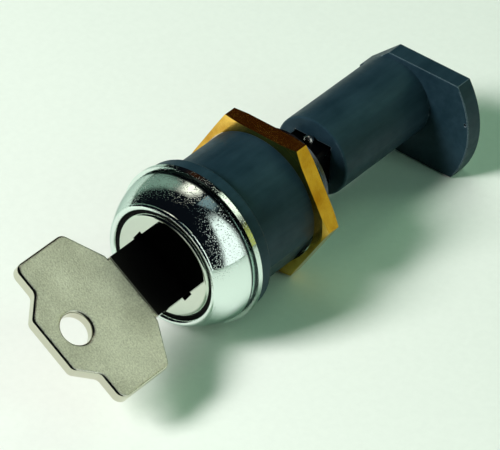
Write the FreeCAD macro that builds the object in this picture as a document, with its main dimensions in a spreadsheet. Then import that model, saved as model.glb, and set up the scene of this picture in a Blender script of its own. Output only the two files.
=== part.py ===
"""Key-operated battery switch for a boat's bulkhead or console, as a parametric assembly.

Frame: +Y runs along the switch's axis from the key to the rear, +X is to the right seen from
the key side and +Z is up. The origin is on the axis, at the face that seats on the panel.
Turned pieces are drawn with their own Z along the axis, and their Placement lays that onto +Y.
"""
import FreeCAD, Part
import math
import os

import Sketcher
from FreeCAD import Placement, Rotation, Vector

doc = FreeCAD.newDocument("BatterySwitch")

# Every driving dimension, in millimetres or degrees. Stations count along the axis from the
# panel face, negative towards the key.
DIMENSIONS = (
    ("key_angle", 32.5, "how far the key's flat is turned clockwise from +X at rest"),
    ("quarter_turn", 90.0, "travel of the key"),
    ("running_gap", 0.05, "radial clearance of a turning fit"),
    ("thin", 0.05, "clearance between faces that slide past each other"),
    ("pin_slack", 0.02, "radial clearance of a pin in its hole"),
    ("cut_over", 1.0, "how far a cut runs past the material"),
    # barrel
    ("barrel_radius", 11.0, "shank that passes the panel hole"),
    ("shank_end", 15.1, "station where the threaded shank ends"),
    ("flat_distance", 10.4, "axis to each anti-rotation flat"),
    ("flat_angle", 28.0, "how far the flats are turned clockwise from +X"),
    ("flange_radius", 12.65, "head flange"),
    ("flange_thick", 2.5, "head flange"),
    ("flange_round", 0.3, "rounded rear edge of the flange"),
    ("head_radius", 10.0, "head that carries the bezel"),
    ("head_front", 8.8, "head's front, ahead of the panel face"),
    ("seat_front", 6.2, "seat of the plug's head, ahead of the panel face"),
    ("collar_radius", 8.0, "rear collar"),
    ("collar_end", 18.7, "station where the rear collar ends"),
    ("pitch", 1.5, "thread pitch"),
    ("thread_depth", 0.8, "thread depth"),
    ("thread_half", 0.63, "half width of a thread groove at the surface"),
    ("thread_start", 12.75, "station of the first thread groove"),
    ("wafer_room", 0.15, "room around the wafers in the barrel's grooves"),
    # bezel
    ("lip_front", 10.0, "bezel's lip, ahead of the panel face"),
    ("opening_radius", 9.25, "bezel's opening"),
    ("lip_width", 1.0, "rounded lip around the opening"),
    ("dome_radius", 12.45, "dome's rear end, from the axis"),
    ("dome_rear", 4.0, "dome's rear end, ahead of the panel face"),
    ("dome_centre", -0.43, "centre of the dome's curve, from the axis"),
    ("rim_radius", 13.05, "thin flat rim behind the dome"),
    ("rim_thick", 0.9, "thin flat rim"),
    ("rim_groove", 0.4, "depth of the groove between dome and rim"),
    # plug
    ("plug_head_radius", 8.65, "plug's face"),
    ("plug_face", 9.8, "plug's face, ahead of the panel face"),
    ("plug_round", 0.6, "rounded edge of the plug's face"),
    ("plug_radius", 7.5, "plug in the barrel's bore"),
    ("seal_station", -5.0, "centre of the plug's seal"),
    ("seal_section", 0.45, "section radius of the plug's seal"),
    ("spindle_bore_start", 12.2, "station where the spindle's bore in the plug starts"),
    ("keyway_mouth", 6.0, "half length of the keyway at the face"),
    ("keyway_mouth_end", 6.4, "end of the wide mouth, ahead of the panel face"),
    ("keyway_half", 4.95, "half length of the keyway past its mouth"),
    ("keyway_end", 11.2, "station where the keyway ends"),
    ("keyway_gap", 1.15, "half width of the keyway"),
    ("wafer_first", -2.4, "station of the first wafer"),
    ("wafer_pitch", 2.2, "spacing of the wafers"),
    ("wafer_thick", 0.9, "wafer plate"),
    ("wafer_slot", 1.0, "slot for a wafer"),
    ("wafer_half_width", 4.0, "wafer plate across the key's flat"),
    ("wafer_tip_radius", 7.45, "wafer's rounded ends"),
    ("wafer_window", 5.75, "half length of the window that the blade passes"),
    ("wafer_throw", 0.8, "how far a wafer springs out without the key"),
    ("ear_width", 1.9, "spring ear beside the wafer plate"),
    ("ear_half", 0.45, "half length of the spring ear"),
    ("spring_beside", 5.14, "axis of a wafer spring, beside the switch's axis"),
    ("chamber_half", 3.6, "half length of the spring chamber"),
    ("spring_radius", 0.32, "mean radius of a wafer spring"),
    ("spring_wire", 0.09, "wire radius of a wafer spring"),
    ("spring_length", 3.0, "wafer spring with the key in"),
    ("stop_station", 13.5, "station of the stop pin"),
    ("stop_radius", 1.0, "stop pin"),
    ("stop_tip", 6.5, "stop pin's inner end, from the axis"),
    ("stop_outer", 10.1, "stop pin's outer end, from the axis"),
    ("stop_slack", 10.5, "angle that each end of the stop groove adds past the pin's centre"),
    # wiper ring in the gap around the plug's face
    ("wiper_thick", 0.6, "wiper ring"),
    # nut
    ("nut_flats", 23.75, "across flats"),
    ("nut_thick", 2.8, "nut"),
    ("nut_front", 12.1, "nut's front face"),
    ("nut_ring", 12.6, "radius where the corner chamfer starts"),
    ("nut_drop", 0.3, "corner chamfer along the axis, at the corner"),
    # spindle and what it carries
    ("spindle_radius", 4.92, "round part of the spindle"),
    ("spindle_square", 7.0, "square part, across flats"),
    ("spindle_edge", 0.3, "broken corners of the square"),
    ("square_start", 21.5, "station where the square starts"),
    ("spindle_end", 41.5, "rear end of the spindle"),
    ("cross_radius", 1.0, "cross pin through plug and spindle"),
    ("cross_station", 16.3, "station of the cross pin"),
    ("cross_length", 14.8, "cross pin"),
    ("washer_thick", 0.6, "thrust washer behind the collar"),
    ("clip_groove_radius", 4.4, "groove for the retaining clip"),
    ("clip_station", 19.85, "middle of the retaining clip"),
    ("clip_thick", 0.8, "retaining clip"),
    ("clip_radius", 6.6, "retaining clip"),
    ("clip_mouth", 6.2, "opening of the retaining clip"),
    ("ball_radius", 0.85, "detent ball"),
    ("ball_station", 24.4, "station of the detent ball"),
    ("ball_height", 3.6, "detent ball's centre above the axis"),
    ("ball_hole", 0.9, "radius of the ball's hole"),
    ("ball_hole_floor", 0.4, "height of the hole's floor above the axis"),
    ("ball_spring_radius", 0.55, "mean radius of the ball's spring"),
    ("ball_spring_wire", 0.12, "wire radius of the ball's spring"),
    # drive sleeve with its one-sided tongue
    ("sleeve_radius", 6.75, "drive sleeve"),
    ("sleeve_front", 25.3, "front face of the sleeve"),
    ("sleeve_round", 0.35, "rounded front edge"),
    ("socket_half", 3.55, "half of the square socket"),
    ("socket_end", 42.0, "end of the square socket"),
    ("tongue_front", 46.0, "front face of the tongue"),
    ("tongue_thick", 3.2, "tongue"),
    ("tongue_top", 7.3, "upper flat above the axis"),
    ("tongue_foot", 10.3, "lower flat below the axis"),
    ("tongue_reach", 14.35, "furthest point of the tongue's curved end"),
    ("tongue_corner", 11.65, "where the curved end meets the flats"),
    ("tongue_back", 7.0, "side away from the curved end"),
    ("tongue_shoulder", 1.7, "where the slanted shoulders meet the flats"),
    ("shoulder_drop", 4.9, "height of the slanted shoulders"),
    ("tongue_edge", 0.12, "broken edges of the tongue"),
    ("pip_radius", 0.25, "small pip hole at the tongue's front edge"),
    ("pip_depth", 0.8, "small pip hole"),
    ("pip_reach", 13.6, "small pip hole, from the axis"),
    ("pip_height", 0.95, "small pip hole, above the axis"),
    # screw at the rear
    ("screw_radius", 1.95, "M4 shank"),
    ("screw_hole", 2.0, "hole for the M4 screw"),
    ("screw_length", 12.0, "shank under the head"),
    ("screw_head_radius", 3.5, "M4 socket head"),
    ("screw_head", 2.4, "head height"),
    ("screw_recess", 0.2, "head's top below the tongue's rear face"),
    ("screw_edge", 0.3, "chamfered edges of the screw"),
    ("hex_key", 3.0, "hexagon socket across flats"),
    ("hex_depth", 1.3, "hexagon socket"),
    ("counterbore_radius", 4.0, "recess for the screw head"),
    ("lock_washer_radius", 3.45, "spring washer"),
    ("lock_washer_thick", 0.7, "spring washer"),
    # key
    ("bow_front", 34.6, "bow's outer end, ahead of the panel face"),
    ("bow_end_half", 4.6, "half of the bow's straight end"),
    ("bow_notch_half", 7.6, "half width at the foot of the end's slanted sides"),
    ("bow_notch", 31.2, "step beside the end, ahead of the panel face"),
    ("bow_half", 12.4, "half of the bow's width"),
    ("bow_shoulder", 20.9, "shoulder corner, ahead of the panel face"),
    ("bow_rear", 16.7, "bow's inner end, ahead of the panel face"),
    ("neck_flare", 17.25, "where the shoulder leaves the neck, ahead of the panel face"),
    ("neck_half", 6.05, "half width where the shoulder starts"),
    ("bow_thick", 2.2, "bow"),
    ("bow_corner", 1.5, "rounded outer corners"),
    ("end_corner", 1.2, "rounded corners of the bow's end"),
    ("neck_corner", 0.6, "rounded corners beside the neck"),
    ("bow_round", 0.5, "rounded edges of the bow's faces"),
    ("hole_round", 0.55, "rounded edges of the ring hole"),
    ("ring_hole", 2.5, "radius of the key ring's hole"),
    ("ring_hole_front", 29.45, "hole's centre, ahead of the panel face"),
    ("blade_half", 5.55, "half width of the blade ahead of the plug"),
    ("blade_wide_end", 7.0, "end of the wide part, ahead of the panel face"),
    ("bit_half", 4.8, "half width of the blade inside the plug"),
    ("blade_thick", 2.0, "blade"),
    ("blade_tip", 10.6, "blade's tip"),
    ("tip_half", 2.2, "half width at the tip"),
    ("tip_length", 2.6, "tapered tip"),
    ("cut_spread", 0.75, "half length of each cut's mouth"),
    ("groove_half", 0.6, "half width of the groove along the blade"),
    ("groove_depth", 0.3, "groove along the blade"),
    ("groove_front", 8.0, "front end of the blade's groove, ahead of the panel face"),
    ("blade_root", 17.2, "front end of the blade inside the bow, ahead of the panel face"),
)
WAFERS = 5
# How deep each wafer's cut goes into the key's edge, from the mouth of the lock inwards.
KEY_CUTS = (0.55, 1.0, 0.35, 0.8, 0.6)
THREAD_GROOVES = 2
WAFER_SPRING_TURNS = 6
DETENT_SPRING_TURNS = 4
# Tolerances for finding edges and telling a real change of volume.
SAME_PLACE = 1e-4
FLAT = 1e-6


class Size:
    """A number together with the sheet expression that gives it."""

    def __init__(self, value, text):
        self.value = value
        self.text = text

    @staticmethod
    def of(other):
        return other if isinstance(other, Size) else Size(float(other), f"({other})")

    def join(self, other, sign, value):
        return Size(value, f"({self.text} {sign} {Size.of(other).text})")

    def __add__(self, other):
        return self.join(other, "+", self.value + Size.of(other).value)

    def __sub__(self, other):
        return self.join(other, "-", self.value - Size.of(other).value)

    def __mul__(self, other):
        return self.join(other, "*", self.value * Size.of(other).value)

    def __truediv__(self, other):
        return self.join(other, "/", self.value / Size.of(other).value)

    def __neg__(self):
        return Size(-self.value, f"(0 - {self.text})")


class Sizes:
    """The spreadsheet's dimensions as attributes."""

    def __init__(self):
        sheet = doc.addObject("Spreadsheet::Sheet", "Dimensions")
        for row, (name, value, note) in enumerate(DIMENSIONS, start=1):
            sheet.set(f"A{row}", name)
            sheet.set(f"B{row}", str(value))
            sheet.set(f"C{row}", note)
            sheet.setAlias(f"B{row}", name)
            setattr(self, name, Size(value, f"Dimensions.{name}"))
        doc.recompute()


d = Sizes()
ZERO = Size(0.0, "0")
SPINE_FRAME = Rotation(Vector(1, 0, 0), -90)


def bind(feature, path, size):
    """Drives one property of a feature from the sheet."""
    feature.setExpression(path, size.text)


def axial(spin=0.0, offset=Vector(0, 0, 0)):
    """Lays a piece's own Z along +Y after turning it by spin degrees about that axis."""
    return Placement(offset, SPINE_FRAME.multiply(Rotation(Vector(0, 0, 1), spin)))


def key_plane(offset=Vector(0, 0, 0)):
    """Turns a piece drawn flat in XY, with Y along the axis, into the plane of the key."""
    return Placement(offset, Rotation(Vector(0, 1, 0), d.key_angle.value))


def new_body(name, placement):
    body = doc.addObject("PartDesign::Body", name)
    body.Label = name
    body.Placement = placement
    return body


def origin_feature(body, role):
    return next(item for item in body.Origin.OriginFeatures if item.Role == role)


def new_sketch(body, name, role, lift=None, swing=0.0, twist=0.0):
    """A sketch on one of the body's origin planes, lifted along its normal, swung about its Y and
    twisted about its normal, both in degrees."""
    sketch = body.newObject("Sketcher::SketchObject", name)
    sketch.AttachmentSupport = [(origin_feature(body, role), "")]
    sketch.MapMode = "FlatFace"
    turn = Rotation(Vector(0, 1, 0), swing).multiply(Rotation(Vector(0, 0, 1), twist))
    height = lift.value if lift else 0.0
    sketch.AttachmentOffset = Placement(Vector(0, 0, height), turn)
    if lift:
        bind(sketch, ".AttachmentOffset.Base.z", lift)
    return sketch


def hold(sketch, edge, end, point):
    """Dimensions one end of an edge from the sketch's origin."""
    for kind, size in zip(("DistanceX", "DistanceY"), point):
        index = sketch.addConstraint(Sketcher.Constraint(kind, -1, 1, edge, end, size.value))
        sketch.setExpression(f"Constraints[{index}]", size.text)


def outline(sketch, corners, arcs=None):
    """A closed outline through corners. arcs maps a corner's number to the arc that leads from
    it to the next: a point the arc bulges to, and one held coordinate of its centre."""
    arcs = arcs or {}
    first = sketch.GeometryCount
    ends = []
    for number, corner in enumerate(corners):
        following = corners[(number + 1) % len(corners)]
        start = Vector(corner[0].value, corner[1].value, 0)
        finish = Vector(following[0].value, following[1].value, 0)
        if number in arcs:
            bulge, kind, centre = arcs[number]
            edge = sketch.addGeometry(Part.Arc(start, Vector(*bulge, 0), finish), False)
            forward = sketch.Geometry[edge].StartPoint.distanceToPoint(start) < FLAT
            ends.append((1, 2) if forward else (2, 1))
            index = sketch.addConstraint(Sketcher.Constraint(kind, -1, 1, edge, 3, centre.value))
            sketch.setExpression(f"Constraints[{index}]", centre.text)
        else:
            sketch.addGeometry(Part.LineSegment(start, finish), False)
            ends.append((1, 2))
    count = len(corners)
    for number, corner in enumerate(corners):
        before = (number - 1) % count
        last_end, first_end = ends[before][1], ends[number][0]
        sketch.addConstraint(
            Sketcher.Constraint("Coincident", first + before, last_end, first + number, first_end)
        )
        hold(sketch, first + number, ends[number][0], corner)


def circle(sketch, centre, radius):
    edge = sketch.addGeometry(
        Part.Circle(Vector(centre[0].value, centre[1].value, 0), Vector(0, 0, 1), radius.value), False
    )
    hold(sketch, edge, 3, centre)
    index = sketch.addConstraint(Sketcher.Constraint("Radius", edge, radius.value))
    sketch.setExpression(f"Constraints[{index}]", radius.text)


def rectangle(sketch, left, bottom, right, top):
    outline(sketch, [(left, bottom), (right, bottom), (right, top), (left, top)])


def volume_of(body):
    doc.recompute()
    return body.Shape.Volume


def finish_feature(body, feature, name, removes=None):
    """Recomputes a feature and checks that a cut takes material away."""
    after = volume_of(body)
    if feature.getStatusString() != "Valid":
        raise RuntimeError(f"{body.Label}: {name} {feature.getStatusString()}")
    if removes is not None and not after < removes - FLAT:
        raise RuntimeError(f"{body.Label}: {name} removes nothing")
    return feature


def revolve(body, sketch, name):
    turned = body.newObject("PartDesign::Revolution", name)
    turned.Profile = sketch
    turned.ReferenceAxis = (sketch, ["V_Axis"])
    turned.Angle = 360.0
    return finish_feature(body, turned, name)


def groove(body, sketch, name, angle=360.0):
    before = volume_of(body)
    cut = body.newObject("PartDesign::Groove", name)
    cut.Profile = sketch
    cut.ReferenceAxis = (sketch, ["V_Axis"])
    cut.Midplane = angle < 360.0
    cut.Angle = angle
    return finish_feature(body, cut, name, before)


def pad(body, sketch, name, length, midplane=False):
    grown = body.newObject("PartDesign::Pad", name)
    grown.Profile = sketch
    grown.Midplane = midplane
    grown.Length = length.value
    bind(grown, "Length", length)
    return finish_feature(body, grown, name)


def pocket(body, sketch, name, length):
    """Cuts a sketch's outline to half of length on each side of its plane."""
    before = volume_of(body)
    cut = body.newObject("PartDesign::Pocket", name)
    cut.Profile = sketch
    cut.Midplane = True
    cut.Length = length.value
    bind(cut, "Length", length)
    return finish_feature(body, cut, name, before)


def repeat_along(body, feature, name, count, step):
    """Repeats a feature along the body's Z."""
    pattern = body.newObject("PartDesign::LinearPattern", name)
    pattern.Originals = [feature]
    pattern.Direction = (origin_feature(body, "Z_Axis"), [""])
    pattern.Occurrences = count
    pattern.Length = (step * (count - 1)).value
    body.Tip = pattern
    bind(pattern, "Length", step * (count - 1))
    finish_feature(body, pattern, name)


def hexagon_corners(flats):
    """Corners of a hexagon, the first on X."""
    corner = flats / (2 * math.cos(math.radians(30)))
    angles = [math.radians(60 * number) for number in range(6)]
    return [(corner * math.cos(angle), corner * math.sin(angle)) for angle in angles]


def arc_middle(start, finish, centre_x):
    """Middle of the arc between two points whose centre lies at centre_x."""
    ax, ay = (size.value for size in start)
    bx, by = (size.value for size in finish)
    cx = centre_x.value
    cy = ((bx - cx) ** 2 - (ax - cx) ** 2 + by ** 2 - ay ** 2) / (2 * (by - ay))
    centre = Vector(cx, cy, 0)
    outward = (Vector(ax + bx, ay + by, 0) / 2 - centre).normalize()
    middle = centre + outward * centre.distanceToPoint(Vector(ax, ay, 0))
    return middle.x, middle.y


def edges_where(feature, accept):
    return [f"Edge{n}" for n, edge in enumerate(feature.Shape.Edges, start=1) if accept(edge)]


def dress(body, kind, name, base, size, accept):
    """Adds a PartDesign Fillet or Chamfer to the edges that accept picks."""
    names = edges_where(base, accept)
    if not names:
        raise RuntimeError(f"{body.Label}: {name} finds no edge")
    dressed = body.newObject(f"PartDesign::{kind}", name)
    dressed.Base = (base, names)
    path = "Radius" if kind == "Fillet" else "Size"
    setattr(dressed, path, size.value)
    bind(dressed, path, size)
    return finish_feature(body, dressed, name)


def spans(edge, axis):
    """How far an edge runs along one axis, 0 for X, 1 for Y or 2 for Z."""
    box = edge.BoundBox
    return (box.XLength, box.YLength, box.ZLength)[axis]


def ring_at(edge, station, radius):
    """True for a round edge about Z at a station and radius."""
    box = edge.BoundBox
    level = abs(box.ZMin - station) < SAME_PLACE and abs(box.ZMax - station) < SAME_PLACE
    return level and hasattr(edge.Curve, "Radius") and abs(edge.Curve.Radius - radius) < SAME_PLACE


def turned_body(name, profile, spin=0.0, arcs=None):
    """A piece of revolution. profile lists radius and station pairs around its half section."""
    body = new_body(name, axial(spin))
    sketch = new_sketch(body, f"{name}_profile", "XZ_Plane")
    outline(sketch, profile, arcs)
    revolve(body, sketch, f"{name}_turned")
    return body


def ring_body(name, inner, outer, start, end, spin=0.0):
    return turned_body(name, [(inner, start), (outer, start), (outer, end), (inner, end)], spin)


# ---------------------------------------------------------------- housing


def make_barrel():
    """Head flange, double-D threaded shank and rear collar in one piece."""
    bore = d.plug_radius + d.running_gap
    face_bore = d.plug_head_radius + d.running_gap
    body = turned_body(
        "barrel",
        [
            (face_bore, -d.head_front),
            (d.head_radius, -d.head_front),
            (d.head_radius, -d.flange_thick),
            (d.flange_radius, -d.flange_thick),
            (d.flange_radius, ZERO),
            (d.barrel_radius, ZERO),
            (d.barrel_radius, d.shank_end),
            (d.collar_radius, d.shank_end),
            (d.collar_radius, d.collar_end),
            (bore, d.collar_end),
            (bore, -d.seat_front),
            (face_bore, -d.seat_front),
        ],
        d.key_angle.value,
    )
    dress(
        body, "Fillet", "barrel_flange_round", body.Tip, d.flange_round,
        lambda edge: ring_at(edge, 0.0, d.flange_radius.value),
    )
    cut_thread(body)
    cut_barrel_flats(body)
    cut_wafer_grooves(body)
    cut_stop_hole(body)
    return body


def cut_thread(body):
    thread = new_sketch(body, "barrel_thread_profile", "XZ_Plane")
    outline(
        thread,
        [
            (d.barrel_radius + d.thin, d.thread_start - d.thread_half),
            (d.barrel_radius - d.thread_depth, d.thread_start),
            (d.barrel_radius + d.thin, d.thread_start + d.thread_half),
        ],
    )
    repeat_along(body, groove(body, thread, "barrel_thread"), "barrel_thread_row", THREAD_GROOVES, d.pitch)


def cut_barrel_flats(body):
    """The two flats that stop the barrel turning in its panel hole."""
    twist = d.flat_angle.value - d.key_angle.value
    for side in (-1, 1):
        flat = new_sketch(body, f"barrel_flat_{side + 1}", "XY_Plane", d.shank_end / 2, twist=twist)
        rectangle(flat, d.flat_distance * side, -d.flange_radius, d.flange_radius * side, d.flange_radius)
        pocket(body, flat, f"barrel_flat_cut_{side + 1}", d.shank_end)


def cut_wafer_grooves(body):
    """Crossed grooves in the bore that the wafers spring into, at rest and a quarter turn on."""
    length = d.wafer_pitch * (WAFERS - 1) + d.wafer_slot * 2
    middle = d.wafer_first + d.wafer_pitch * ((WAFERS - 1) / 2)
    reach = d.wafer_tip_radius + d.wafer_throw + d.wafer_room
    width = d.wafer_half_width + d.wafer_room
    for name, across, along in (("along_key", reach, width), ("across_key", width, reach)):
        slot = new_sketch(body, f"barrel_wafer_groove_{name}", "XY_Plane", middle)
        rectangle(slot, -across, -along, across, along)
        pocket(body, slot, f"barrel_wafer_groove_cut_{name}", length)


def cut_stop_hole(body):
    """Radial hole for the stop pin, half way round the key's travel."""
    hole = new_sketch(body, "barrel_stop_hole", "XZ_Plane", None, d.quarter_turn.value / 2)
    place_radial_hole(hole, d.stop_station, d.stop_radius, (d.stop_tip, d.barrel_radius + d.thin))
    before = volume_of(body)
    cut = body.newObject("PartDesign::Groove", "barrel_stop_hole_cut")
    cut.Profile = hole
    cut.ReferenceAxis = (hole, ["Axis0"])
    cut.Angle = 360.0
    finish_feature(body, cut, "stop hole", before)


def place_radial_hole(sketch, station, radius, reach):
    """Half section of a radial hole, with a construction axis to turn it about."""
    inner, outer = reach
    line = sketch.addGeometry(
        Part.LineSegment(Vector(inner.value, station.value, 0), Vector(outer.value, station.value, 0)), True
    )
    hold(sketch, line, 1, (inner, station))
    hold(sketch, line, 2, (outer, station))
    rectangle(sketch, inner, station, outer, station + radius)


def make_bezel():
    """Chromed cap: rounded lip, domed wall and a thin flat rim behind a groove."""
    lip_arc = d.lip_width / 2
    lip_inner = (d.opening_radius, -(d.lip_front - lip_arc))
    lip_outer = (d.opening_radius + d.lip_width, -(d.lip_front - lip_arc))
    lip_crest = ((d.opening_radius + lip_arc).value, -d.lip_front.value)
    dome_end = (d.dome_radius, -d.dome_rear)
    rim_front = d.flange_thick + d.rim_thick
    bore = d.head_radius + d.running_gap
    return turned_body(
        "bezel",
        [
            lip_inner,
            lip_outer,
            dome_end,
            (d.dome_radius - d.rim_groove, -rim_front),
            (d.rim_radius, -rim_front),
            (d.rim_radius, -d.flange_thick),
            (bore, -d.flange_thick),
            (bore, -d.head_front),
            (d.opening_radius, -d.head_front),
        ],
        d.key_angle.value,
        {
            0: (lip_crest, "DistanceY", lip_inner[1]),
            1: (arc_middle(lip_outer, dome_end, d.dome_centre), "DistanceX", d.dome_centre),
        },
    )


def make_wiper_ring():
    """Rubber ring in the gap between the plug's face and the bezel's opening."""
    return ring_body(
        "wiper_ring",
        d.plug_head_radius + d.running_gap,
        d.opening_radius - d.running_gap / 2,
        -(d.head_front + d.wiper_thick),
        -d.head_front,
    )


def make_stop_pin():
    """Radial pin in the barrel's wall, under the nut, that ends the key's travel."""
    pin = doc.addObject("Part::Cylinder", "stop_pin")
    pin.Label = "stop_pin"
    bind(pin, "Radius", d.stop_radius - d.pin_slack)
    bind(pin, "Height", d.stop_outer - d.stop_tip)
    angle = math.radians(-d.key_angle.value - d.quarter_turn.value / 2)
    outward = Vector(math.cos(angle), 0, math.sin(angle))
    pin.Placement = Placement(
        outward * d.stop_tip.value + Vector(0, d.stop_station.value, 0), Rotation(Vector(0, 0, 1), outward)
    )
    return pin


def make_hex_nut():
    """Brass panel nut with chamfered corners."""
    body = new_body("hex_nut", axial(0.0, Vector(0, d.nut_front.value, 0)))
    corners = hexagon_corners(d.nut_flats)
    hexagon = new_sketch(body, "nut_hexagon", "XY_Plane")
    outline(hexagon, corners)
    circle(hexagon, (ZERO, ZERO), d.barrel_radius + d.running_gap)
    pad(body, hexagon, "nut_plate", d.nut_thick)
    corner = corners[0][0]
    beyond = corner + d.cut_over
    depth = d.nut_drop * ((beyond - d.nut_ring) / (corner - d.nut_ring))
    for name, face, side in (("front", ZERO, 1), ("rear", d.nut_thick, -1)):
        bevel = new_sketch(body, f"nut_bevel_{name}", "XZ_Plane")
        outline(
            bevel,
            [
                (d.nut_ring, face),
                (beyond, face - d.thin * side),
                (beyond, face + depth * side),
            ],
        )
        groove(body, bevel, f"nut_bevel_cut_{name}")
    return body


# ---------------------------------------------------------------- lock core


def make_plug():
    """Polished lock plug with keyway, wafer slots, stop groove and the spindle's bore."""
    groove_floor = d.plug_radius - d.seal_section * 2
    seal_front = d.seal_station - d.seal_section - d.thin
    seal_rear = d.seal_station + d.seal_section + d.thin
    bore = d.spindle_radius + d.thin
    sweep = d.plug_round.value * (1 - math.sqrt(0.5))
    shoulder = (d.plug_head_radius.value - sweep, sweep - d.plug_face.value)
    body = turned_body(
        "plug",
        [
            (ZERO, -d.plug_face),
            (d.plug_head_radius - d.plug_round, -d.plug_face),
            (d.plug_head_radius, -(d.plug_face - d.plug_round)),
            (d.plug_head_radius, -d.seat_front),
            (d.plug_radius, -d.seat_front),
            (d.plug_radius, seal_front),
            (groove_floor, seal_front),
            (groove_floor, seal_rear),
            (d.plug_radius, seal_rear),
            (d.plug_radius, d.collar_end),
            (bore, d.collar_end),
            (bore, d.spindle_bore_start),
            (ZERO, d.spindle_bore_start),
        ],
        d.key_angle.value,
        {1: (shoulder, "DistanceX", d.plug_head_radius - d.plug_round)},
    )
    cut_keyway(body)
    cut_wafer_slots(body)

    stop = new_sketch(body, "plug_stop_groove", "XZ_Plane")
    floor = d.stop_tip - d.thin * 2
    half = d.stop_radius + d.thin
    rectangle(stop, floor, d.stop_station - half, d.plug_radius + d.thin, d.stop_station + half)
    groove(body, stop, "plug_stop_groove_cut", d.quarter_turn.value + 2 * d.stop_slack.value)

    hole = new_sketch(body, "plug_cross_hole", "XZ_Plane")
    circle(hole, (ZERO, d.cross_station), d.cross_radius)
    pocket(body, hole, "plug_cross_hole_cut", d.plug_head_radius * 2)
    return body


def cut_keyway(body):
    mouth = new_sketch(body, "plug_keyway_mouth", "XY_Plane", -d.plug_face)
    rectangle(mouth, -d.keyway_mouth, -d.keyway_gap, d.keyway_mouth, d.keyway_gap)
    pocket(body, mouth, "plug_keyway_mouth_cut", (d.plug_face - d.keyway_mouth_end) * 2)
    keyway = new_sketch(body, "plug_keyway", "XY_Plane", d.keyway_end - (d.keyway_end + d.plug_face) / 2)
    rectangle(keyway, -d.keyway_half, -d.keyway_gap, d.keyway_half, d.keyway_gap)
    pocket(body, keyway, "plug_keyway_cut", d.keyway_end + d.plug_face)


def cut_wafer_slots(body):
    """Slots for the wafers, each with a chamber beside it for the wafer's spring."""
    slot = new_sketch(body, "plug_wafer_slot", "XY_Plane", d.wafer_first)
    reach = d.plug_radius + d.running_gap
    width = d.wafer_half_width + d.thin
    chamber = width + d.ear_width + d.wafer_room
    outline(
        slot,
        [
            (-reach, width),
            (-reach, -width),
            (-d.chamber_half, -width),
            (-d.chamber_half, -chamber),
            (d.chamber_half, -chamber),
            (d.chamber_half, -width),
            (reach, -width),
            (reach, width),
        ],
    )
    first = pocket(body, slot, "plug_wafer_slot_cut", d.wafer_slot)
    repeat_along(body, first, "plug_wafer_slots", WAFERS, d.wafer_pitch)


def make_plug_seal():
    """O-ring in the plug's groove."""
    seal = doc.addObject("Part::Torus", "plug_seal")
    seal.Label = "plug_seal"
    bind(seal, "Radius1", d.plug_radius + d.running_gap / 2 - d.seal_section)
    bind(seal, "Radius2", d.seal_section)
    seal.Placement = axial(0.0, Vector(0, d.seal_station.value, 0))
    return seal


def wafer_side(number):
    """Wafers spring out towards alternate edges of the key."""
    return 1 if number % 2 == 0 else -1


def wafer_station(number):
    return (d.wafer_first + d.wafer_pitch * number).value


def make_wafer(number):
    """Wafer plate with a window for the blade and an ear for its spring."""
    name = f"wafer_{number + 1}"
    body = new_body(name, key_plane(Vector(0, wafer_station(number), 0)))
    sketch = new_sketch(body, f"{name}_outline", "XZ_Plane")
    end = math.sqrt(d.wafer_tip_radius.value ** 2 - d.wafer_half_width.value ** 2)
    tip = Size(end, "(sqrt(Dimensions.wafer_tip_radius ^ 2 - Dimensions.wafer_half_width ^ 2))")
    half = d.wafer_half_width
    ear_top = half + d.ear_width
    outline(
        sketch,
        [
            (-tip, half),
            (-tip, -half),
            (tip, -half),
            (tip, half),
            (d.ear_half, half),
            (d.ear_half, ear_top),
            (-d.ear_half, ear_top),
            (-d.ear_half, half),
        ],
        {
            0: ((-d.wafer_tip_radius.value, 0.0), "DistanceX", ZERO),
            2: ((d.wafer_tip_radius.value, 0.0), "DistanceX", ZERO),
        },
    )
    rectangle(sketch, -d.wafer_window, -d.keyway_gap, d.wafer_window, d.keyway_gap)
    pad(body, sketch, f"{name}_plate", d.wafer_thick, True)
    return body


def make_coil(name, radius, wire, length, turns, placement):
    """A coil spring along its own Z."""
    helix = doc.addObject("Part::Helix", f"{name}_helix")
    bind(helix, "Radius", radius)
    bind(helix, "Height", length - wire * 2)
    bind(helix, "Pitch", (length - wire * 2) / turns)
    section = doc.addObject("Part::Circle", f"{name}_wire")
    bind(section, "Radius", wire)
    section.Placement = Placement(Vector(radius.value, 0, 0), Rotation(Vector(1, 0, 0), 90))
    doc.recompute()
    coil = doc.addObject("Part::Sweep", name)
    coil.Label = name
    coil.Sections = [section]
    coil.Spine = (helix, ["Edge1"])
    coil.Solid = True
    coil.Frenet = True
    coil.Placement = placement
    return coil


def make_wafer_spring(number):
    """Coil that pushes a wafer's ear; it lies between the chamber's end and the ear."""
    side = wafer_side(number)
    turn = Rotation(Vector(0, 1, 0), d.key_angle.value)
    along = turn.multVec(Vector(side, 0, 0))
    beside = turn.multVec(Vector(0, 0, 1)) * d.spring_beside.value
    start = along * -(d.ear_half + d.spring_length + d.thin - d.spring_wire).value
    base = start + beside + Vector(0, wafer_station(number), 0)
    placement = Placement(base, Rotation(Vector(0, 0, 1), along))
    name = f"wafer_spring_{number + 1}"
    return make_coil(name, d.spring_radius, d.spring_wire, d.spring_length, WAFER_SPRING_TURNS, placement)


def mirrored(corners):
    """A closed outline from its right half, listed from front to rear."""
    return corners + [(-across, along) for across, along in reversed(corners)]


def upright_at(edge, across, along):
    """True for an edge along Z at one or other side of the key's middle line."""
    middle = edge.CenterOfMass
    upright = spans(edge, 2) > FLAT and spans(edge, 0) < FLAT and spans(edge, 1) < FLAT
    at_side = abs(abs(middle.x) - across.value) < SAME_PLACE
    return upright and at_side and abs(middle.y + along.value) < SAME_PLACE


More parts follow.
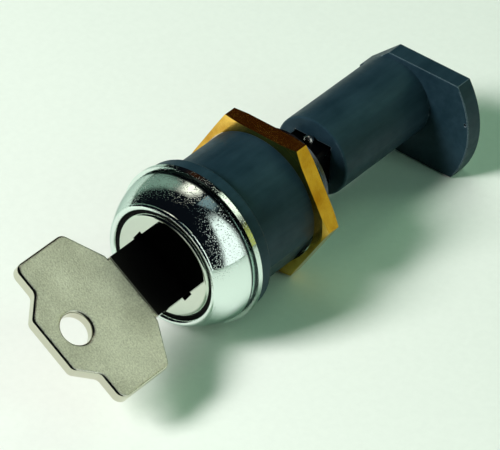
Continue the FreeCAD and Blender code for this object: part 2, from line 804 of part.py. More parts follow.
def make_key():
    """Flat key: bow with rounded edges and a ring hole, and a blade cut on both edges."""
    body = new_body("key", key_plane())
    bow = new_sketch(body, "key_bow", "XY_Plane")
    right = [
        (d.bow_end_half, -d.bow_front),
        (d.bow_notch_half, -d.bow_notch),
        (d.bow_half, -d.bow_notch),
        (d.bow_half, -d.bow_shoulder),
        (d.neck_half, -d.neck_flare),
        (d.blade_half, -d.neck_flare),
        (d.blade_half, -d.bow_rear),
    ]
    outline(bow, mirrored(right))
    circle(bow, (ZERO, -d.ring_hole_front), d.ring_hole)
    plate = pad(body, bow, "key_bow_plate", d.bow_thick, True)
    soften_bow(body, round_bow(body, plate))

    blade = new_sketch(body, "key_blade", "XY_Plane")
    outline(blade, mirrored(blade_edge()))
    pad(body, blade, "key_blade_plate", d.blade_thick, True)
    for side in (-1, 1):
        lift = (d.blade_thick / 2) * side
        milled = new_sketch(body, f"key_groove_{side + 1}", "XY_Plane", lift)
        rectangle(milled, -d.groove_half, -d.groove_front, d.groove_half, d.blade_tip + d.cut_over)
        pocket(body, milled, f"key_groove_cut_{side + 1}", d.groove_depth * 2)
    return body


def round_bow(body, plate):
    """Rounds the bow's upright corners."""
    corners = (
        ("key_shoulder_corners", d.bow_corner, d.bow_half, d.bow_shoulder),
        ("key_outer_corners", d.bow_corner, d.bow_half, d.bow_notch),
        ("key_end_corners", d.end_corner, d.bow_end_half, d.bow_front),
        ("key_notch_corners", d.end_corner, d.bow_notch_half, d.bow_notch),
        ("key_neck_corners", d.neck_corner, d.neck_half, d.neck_flare),
    )
    for name, radius, across, along in corners:
        plate = dress(
            body, "Fillet", name, plate, radius,
            lambda edge, across=across, along=along: upright_at(edge, across, along),
        )
    return plate


def soften_bow(body, plate):
    """Rounds both faces' edges, and those of the ring hole a little more."""
    half = d.bow_thick.value / 2

    def at_hole(edge):
        return ring_at(edge, half, d.ring_hole.value) or ring_at(edge, -half, d.ring_hole.value)

    def at_outline(edge):
        return spans(edge, 2) < FLAT and abs(abs(edge.CenterOfMass.z) - half) < FLAT

    hole_mouth = d.ring_hole.value + d.hole_round.value
    plate = dress(body, "Fillet", "key_hole_round", plate, d.hole_round, at_hole)
    dress(
        body, "Fillet", "key_face_round", plate, d.bow_round,
        lambda edge: at_outline(edge) and not ring_at(edge, edge.BoundBox.ZMin, hole_mouth),
    )


def blade_edge():
    """Right half of the blade's outline, with a cut for each wafer."""
    corners = [
        (d.blade_half, -d.blade_root),
        (d.blade_half, -d.blade_wide_end),
        (d.bit_half, -d.blade_wide_end),
    ]
    for number, depth in enumerate(KEY_CUTS):
        station = d.wafer_first + d.wafer_pitch * number
        corners.append((d.bit_half, station - d.cut_spread))
        corners.append((d.bit_half - depth, station))
        corners.append((d.bit_half, station + d.cut_spread))
    corners.append((d.bit_half, d.blade_tip - d.tip_length))
    corners.append((d.tip_half, d.blade_tip))
    return corners


# ---------------------------------------------------------------- spindle


def make_spindle():
    """Spindle: round in the plug, square in the sleeve, with a clip groove and a ball hole."""
    groove_half = d.clip_thick / 2 + d.thin / 2
    body = turned_body(
        "spindle",
        [
            (ZERO, d.spindle_bore_start + d.thin),
            (d.spindle_radius, d.spindle_bore_start + d.thin),
            (d.spindle_radius, d.clip_station - groove_half),
            (d.clip_groove_radius, d.clip_station - groove_half),
            (d.clip_groove_radius, d.clip_station + groove_half),
            (d.spindle_radius, d.clip_station + groove_half),
            (d.spindle_radius, d.square_start),
            (ZERO, d.square_start),
        ],
    )
    square = new_sketch(body, "spindle_square", "XY_Plane", d.square_start)
    half = d.spindle_square / 2
    inner = half - d.spindle_edge
    upper = [(half, inner), (inner, half), (-inner, half), (-half, inner)]
    outline(square, upper + [(across, -along) for across, along in reversed(upper)])
    pad(body, square, "spindle_bar", d.spindle_end - d.square_start)

    cross = new_sketch(body, "spindle_cross_hole", "XZ_Plane", None, d.key_angle.value)
    circle(cross, (ZERO, d.cross_station), d.cross_radius)
    pocket(body, cross, "spindle_cross_hole_cut", d.spindle_radius * 3)

    top = half + d.cut_over
    ball = new_sketch(body, "spindle_ball_hole", "XZ_Plane", (top + d.ball_hole_floor) / 2)
    circle(ball, (ZERO, d.ball_station), d.ball_hole)
    pocket(body, ball, "spindle_ball_hole_cut", top - d.ball_hole_floor)

    tapped = new_sketch(body, "spindle_tapped_hole", "XY_Plane", d.spindle_end)
    circle(tapped, (ZERO, ZERO), d.screw_hole)
    pocket(body, tapped, "spindle_tapped_hole_cut", d.screw_length * 2)
    return body


def make_cross_pin():
    """Pin through plug and spindle that makes them turn together."""
    pin = doc.addObject("Part::Cylinder", "cross_pin")
    pin.Label = "cross_pin"
    bind(pin, "Radius", d.cross_radius - d.pin_slack)
    bind(pin, "Height", d.cross_length)
    across = key_plane().Rotation.multVec(Vector(0, 0, 1))
    base = across * (-d.cross_length.value / 2) + Vector(0, d.cross_station.value, 0)
    pin.Placement = Placement(base, Rotation(Vector(0, 0, 1), across))
    return pin


def make_thrust_washer():
    """Steel washer that turns against the rear of the barrel's collar."""
    start = d.collar_end + d.thin
    return ring_body(
        "thrust_washer", d.spindle_radius + d.thin, d.collar_radius, start, start + d.washer_thick
    )


def make_retaining_clip():
    """Open clip in the spindle's groove."""
    start = d.clip_station - d.clip_thick / 2
    inner = d.clip_groove_radius + d.thin
    body = ring_body("retaining_clip", inner, d.clip_radius, start, start + d.clip_thick)
    mouth = new_sketch(body, "clip_mouth", "XY_Plane", d.clip_station)
    half = d.clip_mouth / 2
    rectangle(mouth, -half, ZERO, half, d.clip_radius + d.cut_over)
    pocket(body, mouth, "clip_mouth_cut", d.clip_thick * 2)
    return body


def make_detent_ball():
    """Ball in the spindle's upper flat that keeps the sleeve from sliding forwards."""
    ball = doc.addObject("Part::Sphere", "detent_ball")
    ball.Label = "detent_ball"
    bind(ball, "Radius", d.ball_radius)
    ball.Placement = Placement(Vector(0, d.ball_station.value, d.ball_height.value), Rotation())
    return ball


def make_detent_spring():
    """Coil under the detent ball."""
    floor = d.ball_hole_floor + d.thin + d.ball_spring_wire
    length = d.ball_height - d.ball_radius - d.ball_hole_floor - d.thin * 2
    base = Vector(0, d.ball_station.value, floor.value)
    placement = Placement(base, Rotation())
    return make_coil(
        "detent_spring", d.ball_spring_radius, d.ball_spring_wire, length, DETENT_SPRING_TURNS, placement
    )


# ---------------------------------------------------------------- drive sleeve


def make_drive_sleeve():
    """Sleeve that slips over the spindle's square, with a one-sided tongue at its rear."""
    body = new_body("drive_sleeve", axial())
    tube = new_sketch(body, "sleeve_circle", "XY_Plane", d.sleeve_front)
    circle(tube, (ZERO, ZERO), d.sleeve_radius)
    shaft = pad(body, tube, "sleeve_tube", d.tongue_front - d.sleeve_front)
    dress(
        body, "Fillet", "sleeve_front_round", shaft, d.sleeve_round,
        lambda edge: ring_at(edge, d.sleeve_front.value, d.sleeve_radius.value),
    )
    tongue = new_sketch(body, "tongue_outline", "XY_Plane", d.tongue_front)
    draw_tongue(tongue)
    plate = pad(body, tongue, "tongue_plate", d.tongue_thick)
    dress(body, "Chamfer", "tongue_broken_edges", plate, d.tongue_edge, is_tongue_edge)
    bore_sleeve(body)

    pip = new_sketch(body, "tongue_pip", "XY_Plane", d.tongue_front)
    circle(pip, (d.pip_reach, -d.pip_height), d.pip_radius)
    pocket(body, pip, "tongue_pip_cut", d.pip_depth * 2)
    return body


def draw_tongue(sketch):
    """Two flats, a curved end to the right and slanted shoulders to the left."""
    middle = (d.tongue_foot - d.tongue_top) / 2
    half = (d.tongue_foot + d.tongue_top) / 2
    rise = d.tongue_reach - d.tongue_corner
    end_radius = (half * half + rise * rise) / (rise * 2)
    outline(
        sketch,
        [
            (-d.tongue_shoulder, -d.tongue_top),
            (d.tongue_corner, -d.tongue_top),
            (d.tongue_corner, d.tongue_foot),
            (-d.tongue_shoulder, d.tongue_foot),
            (-d.tongue_back, d.tongue_foot - d.shoulder_drop),
            (-d.tongue_back, d.shoulder_drop - d.tongue_top),
        ],
        {1: ((d.tongue_reach.value, middle.value), "DistanceX", d.tongue_reach - end_radius)},
    )


def is_tongue_edge(edge):
    """True for the rear face's edges and the front face's edges beyond the sleeve."""
    box = edge.BoundBox
    level = box.ZLength < FLAT
    at_rear = abs(box.ZMin - (d.tongue_front + d.tongue_thick).value) < SAME_PLACE
    at_front = abs(box.ZMin - d.tongue_front.value) < SAME_PLACE
    at_sleeve = ring_at(edge, d.tongue_front.value, d.sleeve_radius.value)
    beyond = edge.CenterOfMass.x > d.socket_half.value and not at_sleeve
    return level and (at_rear or (at_front and beyond))


def bore_sleeve(body):
    """Square socket for the spindle, the screw's hole and the recess for its head."""
    socket = new_sketch(body, "sleeve_socket", "XY_Plane", (d.sleeve_front + d.socket_end) / 2)
    rectangle(socket, -d.socket_half, -d.socket_half, d.socket_half, d.socket_half)
    pocket(body, socket, "sleeve_socket_cut", d.socket_end - d.sleeve_front)

    rear_end = d.tongue_front + d.tongue_thick
    through = new_sketch(body, "sleeve_screw_hole", "XY_Plane", rear_end)
    circle(through, (ZERO, ZERO), d.screw_hole + d.running_gap * 2)
    pocket(body, through, "sleeve_screw_hole_cut", (rear_end - d.socket_end + d.cut_over) * 2)
    recess = new_sketch(body, "sleeve_counterbore", "XY_Plane", rear_end)
    circle(recess, (ZERO, ZERO), d.counterbore_radius)
    depth = d.screw_head + d.lock_washer_thick + d.screw_recess
    pocket(body, recess, "sleeve_counterbore_cut", depth * 2)


def make_sleeve_screw():
    """M4 socket-head screw that holds the sleeve on the spindle from the rear."""
    seat = d.tongue_front + d.tongue_thick - d.screw_recess - d.screw_head
    top = seat + d.screw_head
    tip = seat - d.screw_length
    body = turned_body(
        "sleeve_screw",
        [
            (ZERO, tip),
            (d.screw_radius - d.screw_edge, tip),
            (d.screw_radius, tip + d.screw_edge),
            (d.screw_radius, seat),
            (d.screw_head_radius, seat),
            (d.screw_head_radius, top - d.screw_edge),
            (d.screw_head_radius - d.screw_edge, top),
            (ZERO, top),
        ],
    )
    socket = new_sketch(body, "screw_hexagon", "XY_Plane", top)
    outline(socket, hexagon_corners(d.hex_key))
    pocket(body, socket, "screw_hexagon_cut", d.hex_depth * 2)
    return body


def make_lock_washer():
    """Split spring washer under the screw's head."""
    end = d.tongue_front + d.tongue_thick - d.screw_recess - d.screw_head
    start = end - d.lock_washer_thick
    body = ring_body("lock_washer", d.screw_radius + d.thin * 2, d.lock_washer_radius, start, end)
    split = new_sketch(body, "washer_split", "XY_Plane", (start + end) / 2)
    rectangle(split, ZERO, -d.thin * 3, d.lock_washer_radius + d.cut_over, d.thin * 3)
    pocket(body, split, "washer_split_cut", d.lock_washer_thick * 2)
    return body


def build():
    pieces = [
        make_barrel(),
        make_bezel(),
        make_wiper_ring(),
        make_stop_pin(),
        make_hex_nut(),
        make_plug(),
        make_plug_seal(),
        make_key(),
        make_spindle(),
        make_cross_pin(),
        make_thrust_washer(),
        make_retaining_clip(),
        make_detent_ball(),
        make_detent_spring(),
        make_drive_sleeve(),
        make_sleeve_screw(),
        make_lock_washer(),
    ]
    for number in range(WAFERS):
        pieces.append(make_wafer(number))
        pieces.append(make_wafer_spring(number))
    doc.recompute()
    return pieces


def check(pieces):
    """Stops on any object that failed and on any sub-part that isn't one valid solid."""
    for item in doc.Objects:
        if "Invalid" in item.State or "Error" in item.State:
            raise RuntimeError(f"{item.Name} failed: {item.State}")
    for piece in pieces:
        shape = piece.Shape
        if shape.isNull() or not shape.isValid() or len(shape.Solids) != 1:
            raise RuntimeError(f"{piece.Label} is not one valid solid")


def write(pieces):
    os.makedirs("parts", exist_ok=True)
    for piece in pieces:
        piece.Shape.exportStep(f"parts/{piece.Label}.step")
        print(f"{piece.Label}: {piece.Shape.Volume:.2f} mm3")


sub_parts = build()
check(sub_parts)
write(sub_parts)
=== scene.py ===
"""Looks of the key-operated battery switch: materials, pale table, studio light and camera."""
import math

import bpy
from mathutils import Matrix, Vector


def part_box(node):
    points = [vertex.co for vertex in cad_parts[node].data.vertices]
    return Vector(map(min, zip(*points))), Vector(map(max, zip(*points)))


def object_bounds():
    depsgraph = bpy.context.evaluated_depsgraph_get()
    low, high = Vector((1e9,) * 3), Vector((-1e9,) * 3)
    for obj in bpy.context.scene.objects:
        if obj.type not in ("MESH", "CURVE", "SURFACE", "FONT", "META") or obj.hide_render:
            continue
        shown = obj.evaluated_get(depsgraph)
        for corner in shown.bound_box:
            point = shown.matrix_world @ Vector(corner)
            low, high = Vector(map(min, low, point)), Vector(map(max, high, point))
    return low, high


MM = 0.001
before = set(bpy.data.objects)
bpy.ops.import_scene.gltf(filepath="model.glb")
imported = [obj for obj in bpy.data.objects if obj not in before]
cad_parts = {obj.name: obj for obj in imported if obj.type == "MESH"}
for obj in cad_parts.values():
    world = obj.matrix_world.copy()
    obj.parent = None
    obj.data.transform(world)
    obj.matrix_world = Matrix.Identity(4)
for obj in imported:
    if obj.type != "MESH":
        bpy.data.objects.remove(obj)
CAD_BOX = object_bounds()
CENTRE = (CAD_BOX[0] + CAD_BOX[1]) / 2

# The camera stands this far round, above and off the point it looks at, in degrees and metres, and that
# point is offset from the object's centre. The lens and sensor are in millimetres.
VIEW_AZIMUTH = 37.80
VIEW_ELEVATION = 38.87
VIEW_ROLL = 2.39
VIEW_DISTANCE = 0.5963
VIEW_OFFSET = Vector((2.6, -0.3, -0.84)) * MM
VIEW_LENS = 288.0
VIEW_SENSOR = 36.0

# The key light round the object's centre, in degrees, metres and watts.
LIGHT_AZIMUTH = -27.0
LIGHT_ELEVATION = 39.5
LIGHT_DISTANCE = 0.7
LIGHT_SIDE = 0.22
LIGHT_POWER = 6.7
LIGHT_COLOUR = (0.98, 0.97, 0.965)

# Half of the table's side, in metres.
TABLE_HALF = 3.0

# How far the key's flat is turned clockwise from +X at rest, and the direction that it faces.
KEY_ANGLE = math.radians(32.5)
KEY_NORMAL = (math.sin(KEY_ANGLE), 0.0, math.cos(KEY_ANGLE))
# The key's bow ends this far ahead of the plug's face, and over its last stretch the key's colour fades
# to the near black given to its blade.
BOW_GAP = 6.9 * MM
BOW_FADE = 0.3 * MM
# How strong the grain of the key's flat faces is, and how rough its walls are.
KEY_GRAIN = 0.8
KEY_WALL_ROUGH = 0.09

# The groove between the bezel's dome and rim, where shade is painted onto the chrome: its middle ahead of
# the bezel's rear face, and how far to each side of that the painted shade is darkest and where it ends.
GROOVE_FROM_REAR = 1.4 * MM
GROOVE_SHADE_DARKEST = 0.25 * MM
GROOVE_SHADE_END = 0.48 * MM

# How far the light rounds the edges of each material, and how wide the highlight painted pale along the
# plastic's edges is.
PLASTIC_ROUND = 0.15 * MM
PLASTIC_HIGHLIGHT_WIDTH = 0.22 * MM
KEY_ROUND = 0.08 * MM
STEEL_ROUND = 0.06 * MM
# How many rays feel for an edge.
BEVEL_SAMPLES = 6
# An edge is there where rounding turns the surface by an angle of these cosines, and it is convex where
# its pointiness passes these values.
EDGE_TURN = (0.99, 0.85)
EDGE_POINT = (0.49, 0.51)

# Spans of a noise that a material spreads out: the narrower the span, the stronger the contrast.
NOISE_WIDE = (0.3, 0.7)
NOISE_MIDDLE = (0.35, 0.65)
NOISE_CORE = (0.38, 0.62)

# Linear colours.
PLASTIC_DARK = (0.008, 0.022, 0.032, 1)
PLASTIC_PALE = (0.016, 0.036, 0.050, 1)
# The highlight painted along the plastic's convex edges.
PLASTIC_EDGE_HIGHLIGHT = (0.22, 0.29, 0.32, 1)
PLASTIC_SHINE = (0.40, 0.80, 0.85, 1)
CHROME = (0.80, 0.90, 0.86, 1)
CHROME_EDGE = (0.50, 0.58, 0.56, 1)
# Painted shade: the chrome's colour down in the bezel's groove.
CHROME_GROOVE_SHADE = (0.03, 0.04, 0.04, 1)
PLUG_NICKEL = (0.62, 0.68, 0.60, 1)
KEY_NICKEL = (0.92, 0.95, 0.80, 1)
KEY_SHADE = (0.52, 0.54, 0.43, 1)
KEY_EDGE = (0.60, 0.58, 0.48, 1)
# The near black that the key's blade is coloured.
BLADE_DARK = (0.012, 0.012, 0.012, 1)
BRASS = (0.88, 0.53, 0.10, 1)
BRASS_DARK = (0.62, 0.30, 0.03, 1)
WAFER_BRASS = (0.78, 0.58, 0.26, 1)
STEEL = (0.62, 0.62, 0.60, 1)
DULL_STEEL = (0.09, 0.10, 0.12, 1)
BLACK_STEEL = (0.008, 0.008, 0.009, 1)
RUBBER = (0.003, 0.003, 0.003, 1)
TABLE_PALE = (0.83, 0.84, 0.80, 1)
ROOM_DARK = (0.003, 0.004, 0.006, 1)
ROOM_PALE = (0.83, 0.90, 0.82, 1)
# What the room's light is multiplied by where it falls on matt surfaces, to make it greener.
FILL_TINT = (0.94, 1.60, 1.24, 1)

# Soft panels round the object, later ones in front of earlier ones. Each has the middle, half width and
# soft edge of its azimuth and of its elevation, in degrees, and a colour.
PANELS = {
    "right wall": ((93.0, 14.0, 5.0), (18.0, 44.0, 12.0), (1.08, 1.18, 1.12, 1)),
    "olive card at the right rear": ((136.0, 11.0, 8.0), (7.0, 13.0, 10.0), (0.56, 0.60, 0.16, 1)),
    "window at the right rear": ((154.0, 16.0, 6.0), (40.0, 20.0, 8.0), (1.25, 1.36, 1.10, 1)),
    "dark card at the left rear": ((-144.0, 9.0, 6.0), (38.0, 7.0, 6.0), (0.026, 0.008, 0.003, 1)),
    "skylight at the left rear": ((-130.0, 24.0, 12.0), (64.0, 10.0, 7.0), (1.35, 1.28, 1.10, 1)),
    "dim left wall": ((-108.0, 9.0, 5.0), (15.0, 38.0, 10.0), (0.20, 0.30, 0.24, 1)),
    "dim ceiling": ((150.0, 35.0, 10.0), (78.0, 10.0, 6.0), (0.18, 0.26, 0.28, 1)),
}

# A Mix node's colour sockets.
MIX_FIRST = 6
MIX_SECOND = 7
MIX_COLOUR = 2


def shaded(colour, factor):
    """A colour made darker, or paler where the factor is over 1."""
    return (*(factor * part for part in colour[:3]), 1)


class NodeTree:
    """Adds nodes to a tree. A value fed to them is a number, a colour or another node's output."""

    def __init__(self, tree):
        self.tree = tree

    def node(self, kind, inputs=None, **settings):
        made = self.tree.nodes.new(f"ShaderNode{kind}")
        for key, value in settings.items():
            setattr(made, key, value)
        for key, value in (inputs or {}).items():
            self.feed(made.inputs[key], value)
        return made

    def feed(self, socket, value):
        if isinstance(value, bpy.types.NodeSocket):
            self.tree.links.new(value, socket)
        else:
            socket.default_value = value

    def math(self, operation, first, second=0.0):
        return self.node("Math", {0: first, 1: second}, operation=operation).outputs["Value"]

    def mix(self, share, first, second, blend="MIX"):
        inputs = {"Factor": share, MIX_FIRST: first, MIX_SECOND: second}
        return self.node("Mix", inputs, data_type="RGBA", blend_type=blend).outputs[MIX_COLOUR]

    def remap(self, value, start, stop, curve="LINEAR"):
        """Takes the span `start` of a value to the span `stop`, and no further."""
        inputs = {"Value": value, "From Min": start[0], "From Max": start[1]}
        inputs |= {"To Min": stop[0], "To Max": stop[1]}
        return self.node("MapRange", inputs, interpolation_type=curve).outputs["Result"]


# ---------------------------------------------------------------- materials


class Shader(NodeTree):
    """A material's node tree around one Principled BSDF."""

    def __init__(self, name):
        self.material = bpy.data.materials.new(name)
        self.material.use_nodes = True
        super().__init__(self.material.node_tree)
        self.surface = self.tree.nodes["Principled BSDF"]
        coordinates = self.node("TexCoord").outputs
        self.place = coordinates["Object"]
        self.own_normal = coordinates["Normal"]

    def station(self):
        """Where a point of the surface is along the switch's axis."""
        return self.node("SeparateXYZ", {"Vector": self.place}).outputs["Y"]

    def noise(self, scale=1.0, detail=4.0, roughness=0.55, stretch=None):
        """Fractal noise from 0 to 1; stretch gives each axis its own scale."""
        place = self.place
        if stretch:
            place = self.node("Mapping", {"Vector": place, "Scale": stretch}).outputs["Vector"]
        inputs = {"Vector": place, "Scale": scale, "Detail": detail, "Roughness": roughness}
        return self.node("TexNoise", inputs).outputs["Fac"]

    def average(self, first, second, share):
        """Two values weighed together; share is the second one's weight."""
        rest = self.math("MULTIPLY", first, 1.0 - share)
        return self.math("ADD", rest, self.math("MULTIPLY", second, share))

    def spread(self, value, span):
        """0 up to the start of a value's span, rising to 1 at its end."""
        return self.remap(value, span, (0.0, 1.0))

    def bump(self, height, distance, strength, under=None):
        """A normal roughened by a height; under is the normal that it starts from."""
        inputs = {"Height": height, "Distance": distance, "Strength": strength}
        if under is not None:
            inputs["Normal"] = under
        return self.node("Bump", inputs).outputs["Normal"]

    def rounded(self, radius):
        """The normal of a surface whose edges are rounded."""
        return self.node("Bevel", {"Radius": radius}, samples=BEVEL_SAMPLES).outputs["Normal"]

    def aligned(self, first, second):
        """The cosine of the angle between two directions."""
        return self.node("VectorMath", {0: first, 1: second}, operation="DOT_PRODUCT").outputs["Value"]

    def edges(self, radius):
        """High along convex edges: where a rounded normal leaves the true one."""
        geometry = self.node("NewGeometry").outputs
        kept = self.aligned(self.rounded(radius), geometry["True Normal"])
        turned = self.spread(kept, EDGE_TURN)
        convex = self.spread(geometry["Pointiness"], EDGE_POINT)
        return self.math("MULTIPLY", turned, convex)

    def facing(self, direction):
        """1 where the piece's surface faces along or against a direction of its own."""
        return self.math("ABSOLUTE", self.aligned(self.own_normal, direction))

    def finish(self, inputs):
        """Feeds the surface's inputs and gives the finished material."""
        for key, value in inputs.items():
            self.feed(self.surface.inputs[key], value)
        return self.material

    def finish_metal(self, colour, rough, normal, edge_tint=None):
        """A bare metal; edge_tint colours it where it is seen at a slant."""
        inputs = {"Base Color": colour, "Metallic": 1.0, "Roughness": rough, "Normal": normal}
        if edge_tint:
            inputs["Specular Tint"] = edge_tint
        return self.finish(inputs)


def moulded_plastic():
    """Dark blue-grey glass-filled nylon: satin, with faint flow streaks along the axis and a highlight
    painted pale along its edges.
    """
    s = Shader("moulded_plastic")
    clouds = s.noise(scale=140.0, detail=3.0)
    streaks = s.noise(detail=5.0, roughness=0.6, stretch=(700.0, 90.0, 700.0))
    tone = s.average(clouds, streaks, 0.5)
    colour = s.mix(s.spread(tone, NOISE_CORE), PLASTIC_DARK, PLASTIC_PALE)
    # Painted highlight: the plastic is coloured pale along its convex edges.
    colour = s.mix(s.edges(PLASTIC_HIGHLIGHT_WIDTH), colour, PLASTIC_EDGE_HIGHLIGHT)
    grain = s.noise(scale=4200.0, detail=3.0)
    normal = s.bump(grain, distance=0.02 * MM, strength=0.35, under=s.rounded(PLASTIC_ROUND))
    inputs = {"Base Color": colour, "Normal": normal}
    inputs["Roughness"] = s.remap(s.noise(scale=700.0), NOISE_WIDE, (0.42, 0.54))
    inputs |= {"Specular IOR Level": 0.25, "Specular Tint": PLASTIC_SHINE}
    return s.finish(inputs)


def chrome_plate():
    """Bright plating over a casting with small pebbles and slow waves, with shade painted dark down in
    its groove.
    """
    s = Shader("chrome_plate")
    cells = s.node("TexVoronoi", {"Vector": s.place, "Scale": 4200.0}).outputs["Distance"]
    pebbles = s.remap(cells, (0.05, 0.38), (1.0, 0.0))
    waves = s.noise(scale=420.0, detail=2.0)
    normal = s.bump(pebbles, distance=0.02 * MM, strength=0.7)
    normal = s.bump(waves, distance=0.04 * MM, strength=0.2, under=normal)
    rough = s.remap(s.noise(scale=900.0, detail=3.0), NOISE_WIDE, (0.03, 0.06))
    groove_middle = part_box("bezel")[1].y - GROOVE_FROM_REAR
    off_groove = s.math("ABSOLUTE", s.math("SUBTRACT", s.station(), groove_middle))
    # Painted shade: the chrome is darkened along the groove between the dome and the rim.
    groove_shade = s.remap(off_groove, (GROOVE_SHADE_DARKEST, GROOVE_SHADE_END), (1.0, 0.0))
    colour = s.mix(groove_shade, CHROME, CHROME_GROOVE_SHADE)
    return s.finish_metal(colour, rough, normal, edge_tint=CHROME_EDGE)


def plug_polish():
    """Polished nickel, slightly hazy and rippled."""
    s = Shader("plug_polish")
    rough = s.remap(s.noise(scale=800.0), NOISE_WIDE, (0.04, 0.08))
    normal = s.bump(s.noise(scale=1800.0, detail=2.0), distance=0.004 * MM, strength=0.2)
    return s.finish_metal(PLUG_NICKEL, rough, normal)


def key_nickel():
    """Nickel-plated brass: a tumbled, grainy bow with smoother walls, and a dark blade."""
    s = Shader("key_nickel")
    bow_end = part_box("plug")[0].y - BOW_GAP
    bow = s.remap(s.station(), (bow_end - BOW_FADE, bow_end), (1.0, 0.0))
    flat = s.spread(s.facing(KEY_NORMAL), (0.75, 0.97))
    grain = s.noise(scale=3600.0, roughness=0.7)
    blotches = s.average(s.noise(scale=160.0, detail=3.0), grain, 0.65)
    tumbled = s.mix(s.spread(blotches, NOISE_CORE), KEY_SHADE, KEY_NICKEL)
    # From the bow's end on, the key is coloured near black.
    colour = s.mix(bow, BLADE_DARK, s.mix(flat, KEY_EDGE, tumbled))
    depth = s.math("MULTIPLY", flat, KEY_GRAIN)
    normal = s.bump(grain, distance=0.08 * MM, strength=depth, under=s.rounded(KEY_ROUND))
    haze = s.math("MULTIPLY", flat, s.remap(grain, NOISE_MIDDLE, (0.2, 0.3)))
    return s.finish_metal(colour, s.math("ADD", haze, KEY_WALL_ROUGH), normal)


def brass(name, light, dark):
    """Drawn brass with darker stains, and faint lines along the axis."""
    s = Shader(name)
    colour = s.mix(s.spread(s.noise(scale=300.0, detail=5.0), (0.4, 0.7)), light, dark)
    drawn = s.noise(detail=3.0, roughness=0.6, stretch=(1200.0, 150.0, 1200.0))
    rough = s.remap(s.noise(scale=1500.0, detail=3.0), NOISE_WIDE, (0.15, 0.22))
    return s.finish_metal(colour, rough, s.bump(drawn, distance=0.004 * MM, strength=0.08))


def steel(name, colour, rough_span):
    """Smeared steel with fine lines along the axis, as rough as its span says."""
    s = Shader(name)
    smear = s.noise(scale=900.0)
    lines = s.noise(detail=3.0, roughness=0.6, stretch=(6000.0, 700.0, 6000.0))
    tone = s.mix(s.spread(smear, NOISE_MIDDLE), colour, shaded(colour, 0.7))
    normal = s.bump(lines, distance=0.01 * MM, strength=0.3, under=s.rounded(STEEL_ROUND))
    return s.finish_metal(tone, s.remap(smear, NOISE_WIDE, rough_span), normal)


def rubber():
    """Matt black rubber with a fine grain."""
    s = Shader("rubber")
    grain = s.noise(scale=3000.0)
    normal = s.bump(grain, distance=0.03 * MM, strength=0.4)
    inputs = {"Base Color": s.mix(grain, RUBBER, shaded(RUBBER, 2.0)), "Normal": normal}
    inputs |= {"Roughness": 0.72, "Specular IOR Level": 0.05}
    return s.finish(inputs)


def dress_nodes():
    """Gives every CAD node its material."""
    plastic = moulded_plastic()
    bright = steel("bright_steel", STEEL, (0.2, 0.34))
    black = steel("black_steel", BLACK_STEEL, (0.25, 0.4))
    seal = rubber()
    looks = {
        "barrel": plastic,
        "drive_sleeve": plastic,
        "bezel": chrome_plate(),
        "plug": plug_polish(),
        "key": key_nickel(),
        "hex_nut": brass("nut_brass", BRASS, BRASS_DARK),
        "wafer": brass("wafer_brass", WAFER_BRASS, BRASS_DARK),
        "spindle": black,
        "thrust_washer": steel("dull_steel", DULL_STEEL, (0.25, 0.35)),
        "retaining_clip": black,
        "wiper_ring": seal,
        "plug_seal": seal,
    }
    for name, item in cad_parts.items():
        wafer_plate = name.startswith("wafer_") and "spring" not in name
        look = looks["wafer"] if wafer_plate else looks.get(name, bright)
        item.data.materials.clear()
        item.data.materials.append(look)


# ---------------------------------------------------------------- table, light and camera


def table_plane():
    """A point on the table and its normal: it touches the bezel's rim and the tongue's foot."""
    rim = Vector((0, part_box("bezel")[1].y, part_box("bezel")[0].z))
    foot = Vector((0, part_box("drive_sleeve")[1].y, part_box("drive_sleeve")[0].z))
    along = (foot - rim).normalized()
    return rim, Vector((1, 0, 0)).cross(along).normalized()


def table_paper():
    """Pale matt paper with a faint mottle."""
    s = Shader("table_top")
    tone = s.mix(s.spread(s.noise(scale=900.0), NOISE_WIDE), TABLE_PALE, shaded(TABLE_PALE, 0.97))
    return s.finish({"Base Color": tone, "Roughness": 0.6})


def make_table():
    """A flat square under the switch, far wider than the view."""
    point, up = table_plane()
    across = Vector((1, 0, 0)) * TABLE_HALF
    along = up.cross(across)
    corners = [point + across * x + along * y for x, y in ((-1, -1), (1, -1), (1, 1), (-1, 1))]
    mesh = bpy.data.meshes.new("table")
    mesh.from_pydata(corners, [], [(0, 1, 2, 3)])
    mesh.materials.append(table_paper())
    table = bpy.data.objects.new("table", mesh)
    bpy.context.scene.collection.objects.link(table)


def stand(name, data, aim, azimuth, elevation, distance, roll=0.0):
    """Stands a lamp or camera round a point, facing it; azimuth 0 is the key side and 90 is +X."""
    around, above = math.radians(azimuth), math.radians(elevation)
    level_part = math.cos(above)
    back = Vector((math.sin(around) * level_part, -math.cos(around) * level_part, math.sin(above)))
    level = (-back).to_track_quat("-Z", "Y").to_matrix().to_4x4()
    rolled = Matrix.Rotation(math.radians(roll), 4, "Z")
    item = bpy.data.objects.new(name, data)
    item.matrix_world = Matrix.Translation(aim + back * distance) @ level @ rolled
    bpy.context.scene.collection.objects.link(item)
    return item


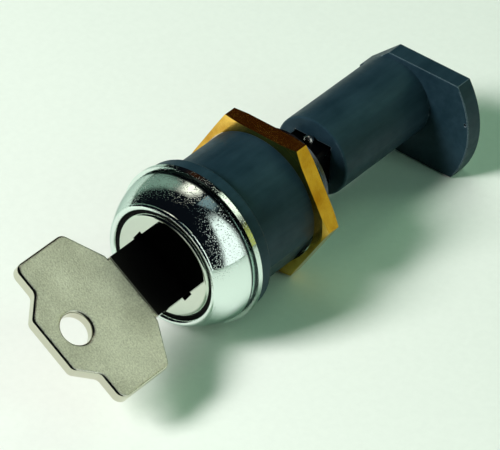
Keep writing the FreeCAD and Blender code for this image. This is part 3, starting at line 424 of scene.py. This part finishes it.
class Studio(NodeTree):
    """The world's node tree: a room whose soft panels have an azimuth and an elevation."""

    def __init__(self, name):
        self.world = bpy.data.worlds.new(name)
        self.world.use_nodes = True
        super().__init__(self.world.node_tree)
        place = self.node("TexCoord").outputs["Generated"]
        x, y, z = self.node("SeparateXYZ", {"Vector": place}).outputs
        self.azimuth = self.math("ARCTAN2", x, self.math("MULTIPLY", y, -1.0))
        self.elevation = self.math("ARCSINE", z)

    def within(self, value, middle, half, soft):
        """1 inside a span of degrees, falling smoothly to 0 over its soft edges."""
        away = self.math("ABSOLUTE", self.math("SUBTRACT", value, math.radians(middle)))
        edge = (math.radians(half - soft), math.radians(half + soft))
        return self.remap(away, edge, (1.0, 0.0), curve="SMOOTHSTEP")

    def panel(self, azimuth, elevation):
        """azimuth and elevation each give a middle, a half width and a soft edge."""
        across = self.within(self.azimuth, *azimuth)
        return self.math("MULTIPLY", across, self.within(self.elevation, *elevation))


def make_world():
    """A dark room with soft panels, which the object reflects; the camera itself sees a pale one."""
    studio = Studio("studio")
    room = ROOM_DARK
    for azimuth, elevation, colour in PANELS.values():
        room = studio.mix(studio.panel(azimuth, elevation), room, colour)
    rays = studio.node("LightPath").outputs
    fill = studio.mix(1.0, room, FILL_TINT, blend="MULTIPLY")
    tone = studio.mix(rays["Is Diffuse Ray"], room, fill)
    tone = studio.mix(rays["Is Camera Ray"], tone, ROOM_PALE)
    studio.feed(studio.tree.nodes["Background"].inputs["Color"], tone)
    bpy.context.scene.world = studio.world


def make_light():
    """A soft square lamp that no metal mirrors: what the metal shows is the room's panels."""
    data = bpy.data.lights.new("key_softbox", "AREA")
    data.shape = "SQUARE"
    data.size = LIGHT_SIDE
    data.energy = LIGHT_POWER
    data.color = LIGHT_COLOUR
    lamp = stand("key_softbox", data, CENTRE, LIGHT_AZIMUTH, LIGHT_ELEVATION, LIGHT_DISTANCE)
    lamp.visible_glossy = False


def make_camera():
    """A long lens that looks down on the key and the switch's right side."""
    data = bpy.data.cameras.new("camera")
    data.lens = VIEW_LENS
    data.sensor_width = VIEW_SENSOR
    aim = CENTRE + VIEW_OFFSET
    camera = stand("camera", data, aim, VIEW_AZIMUTH, VIEW_ELEVATION, VIEW_DISTANCE, VIEW_ROLL)
    bpy.context.scene.camera = camera


bpy.context.scene.view_settings.view_transform = "Standard"
dress_nodes()
make_table()
make_world()
make_light()
make_camera()
